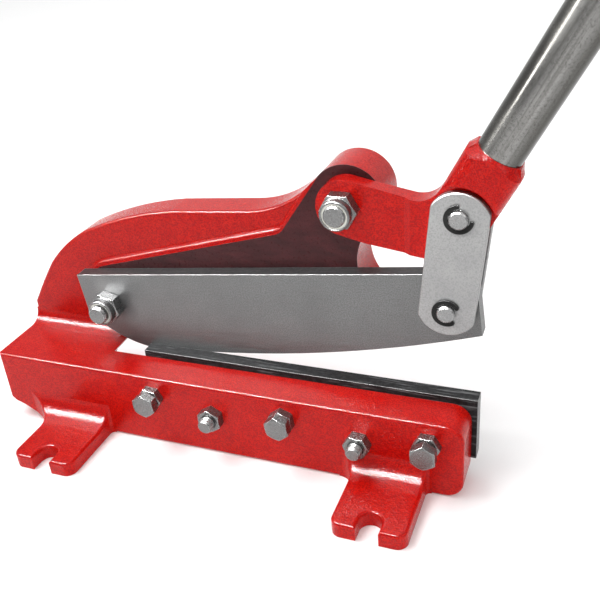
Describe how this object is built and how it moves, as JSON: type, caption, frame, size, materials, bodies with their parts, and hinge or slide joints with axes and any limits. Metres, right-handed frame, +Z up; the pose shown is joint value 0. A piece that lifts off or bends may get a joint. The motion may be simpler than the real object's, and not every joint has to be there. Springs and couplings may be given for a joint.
{
  "type": "bench plate shear",
  "caption": "Hand-lever bench shear: cast frame with a fixed lower blade and a curved upper blade, closed through a link by a long handle.",
  "frame": {"origin": "underside of the bed bar, in the middle of its depth and within 1.2 mm of the middle of its length", "axes": "+Z up, +X along the bed towards the open end of the blades, +Y away from the operator"},
  "size_m": [0.56, 0.1302, 0.6096],
  "materials": {
    "cast_paint": "gloss enamel over rough cast iron",
    "ground_steel": "ground",
    "black_steel": "hot-rolled scale",
    "satin_plate": "satin",
    "zinc_steel": "zinc plated",
    "nylon": "matte",
    "pin_steel": "turned",
    "spring_steel": "dark phosphate",
    "drawn_steel": "raw drawn",
    "plug_plastic": "matte"
  },
  "bodies": {
    "frame": {"frame_casting": "cast_paint", "lower_blade": "black_steel", "clamp_screws": "zinc_steel", "clamp_nuts": "zinc_steel", "jack_screws": "zinc_steel", "jack_jam_nuts": "zinc_steel", "lever_pivot_bolt": "zinc_steel", "lever_pivot_lock_nut": "zinc_steel", "blade_pivot_bolt": "zinc_steel", "blade_pivot_lock_nut": "zinc_steel", "lock_nut_inserts": "nylon", "pivot_washers": "zinc_steel"},
    "blade": {"upper_blade": "ground_steel"},
    "lever": {"lever_casting": "cast_paint", "handle_tube": "drawn_steel", "handle_cross_pin": "spring_steel", "handle_end_plug": "plug_plastic"},
    "link": {"front_link": "satin_plate", "rear_link": "satin_plate", "upper_link_pin": "pin_steel", "lower_link_pin": "pin_steel", "upper_pin_clips": "spring_steel", "lower_pin_clips": "spring_steel", "link_spacers": "pin_steel"}
  },
  "joints": [
    {"name": "lever_pivot", "type": "hinge", "parent": "frame", "child": "lever", "pos_m": [0.083, 0.02605, 0.1653], "axis": [0, 1, 0], "range_deg": [-6, 34.5]},
    {"name": "blade_pivot", "type": "hinge", "parent": "frame", "child": "blade", "pos_m": [-0.0851, 0.02605, 0.0817], "axis": [0, 1, 0], "range_deg": [-1.69, 9.67]},
    {"name": "link_pivot", "type": "hinge", "parent": "lever", "child": "link", "pos_m": [0.1494, 0.02605, 0.1668], "axis": [0, 1, 0], "range_deg": [-45.5, 7.95]}
  ],
  "couplings": [
    {"joint": "blade_pivot", "follows": "lever_pivot", "ratio": 0.2801},
    {"joint": "link_pivot", "follows": "lever_pivot", "ratio": -1.3177}
  ]
}
